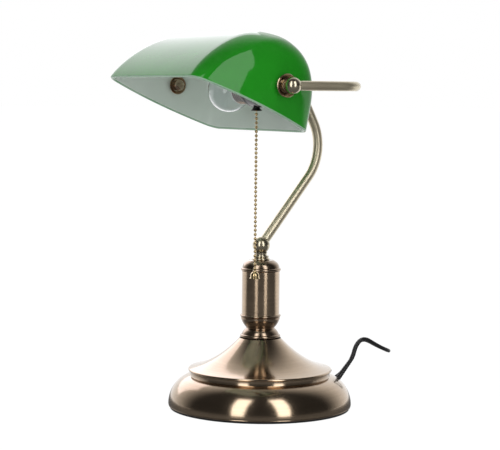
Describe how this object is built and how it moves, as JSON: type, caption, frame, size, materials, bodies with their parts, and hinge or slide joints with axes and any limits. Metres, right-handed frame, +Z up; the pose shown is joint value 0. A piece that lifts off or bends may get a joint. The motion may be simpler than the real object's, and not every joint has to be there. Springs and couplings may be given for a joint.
{
  "type": "banker desk lamp",
  "caption": "Banker desk lamp: tilting green glass trough shade on a brass yoke and bent stem, over a weighted round base, with a pull-chain switch and mains lead.",
  "frame": {"origin": "centre of the base's underside, on the table", "axes": "+Z up; +X along the shade's pivot line towards the lampholder's end; -Y towards the user, who faces the shade's raised front edge"},
  "size_m": [0.3772, 0.3066, 0.3865],
  "materials": {
    "antique_brass": "satin, antiqued",
    "dark_brass": "satin, darkened",
    "chain_brass": "polished",
    "cast_iron": "as cast",
    "felt": "felt",
    "steel": "zinc plated",
    "rubber": "matte",
    "clear_plastic": "natural",
    "green_glass": "green outside, white cased inside, glossy",
    "bakelite": "gloss black",
    "nickel": "nickel plated",
    "porcelain": "glazed",
    "bulb_glass": "clear",
    "bulb_glass_rod": "clear",
    "black_glass": "glossy",
    "cord_plastic": "semi-matte black"
  },
  "bodies": {
    "lamp": {"base_shell": "antique_brass", "base_weight": "cast_iron", "base_pad": "felt", "base_nut": "steel", "base_washer": "steel", "threaded_rod": "steel", "collar": "dark_brass", "cup": "dark_brass", "column_tube": "antique_brass", "column_cap": "dark_brass", "neck": "dark_brass", "stem_ball": "dark_brass", "stem_tube": "antique_brass", "yoke_tube": "antique_brass", "near_ball_end": "antique_brass", "far_ball_end": "antique_brass", "near_outer_cup": "dark_brass", "far_outer_cup": "dark_brass", "near_inner_washer": "steel", "far_inner_cup": "dark_brass", "far_screw": "dark_brass", "near_nipple": "steel", "nipple_nut": "steel", "holder_plate": "steel", "holder_screws": "steel", "holder_cap": "bakelite", "holder_body": "bakelite", "screw_shell": "nickel", "holder_insert": "porcelain", "holder_contact": "chain_brass", "switch_mouth": "bakelite", "bulb_globe": "bulb_glass", "bulb_cap": "nickel", "bulb_base": "black_glass", "bulb_mount": "bulb_glass_rod", "bulb_filament": "nickel", "wiring": "cord_plastic", "strain_relief": "cord_plastic", "cord_lead": "cord_plastic", "cord_coil": "cord_plastic", "cord_tail": "cord_plastic", "coil_tie": "cord_plastic", "plug_body": "cord_plastic", "plug_pins": "nickel"},
    "shade_set": {"shade": "green_glass", "near_bush": "clear_plastic", "far_bush": "clear_plastic", "outer_gaskets": "rubber", "inner_gaskets": "rubber"},
    "pull_stub": {"chain_eye": "chain_brass"},
    "chain_top": {"chain_link": "chain_brass"},
    "chain_low": {"pull_chain": "chain_brass", "pull_bell": "chain_brass"}
  },
  "joints": [
    {"name": "shade_tilt", "type": "hinge", "parent": "lamp", "child": "shade_set", "pos_m": [0, -0.04296, 0.33354], "axis": [1, 0, 0], "range_deg": [-25, 45]},
    {"name": "chain_pull", "type": "slide", "parent": "lamp", "child": "pull_stub", "axis": [0, 0, -1], "range_m": [0, 0.008], "stiffness_N_per_m": 400, "springref_m": -0.006},
    {"name": "chain_swing", "type": "hinge", "parent": "pull_stub", "child": "chain_top", "pos_m": [0.05761, -0.04296, 0.30944], "axis": [1, 0, 0], "range_deg": [-20, 12]},
    {"name": "chain_sway", "type": "hinge", "parent": "chain_top", "child": "chain_low", "pos_m": [0.05761, -0.04296, 0.29669], "axis": [0, 1, 0], "range_deg": [-20, 12]}
  ]
}
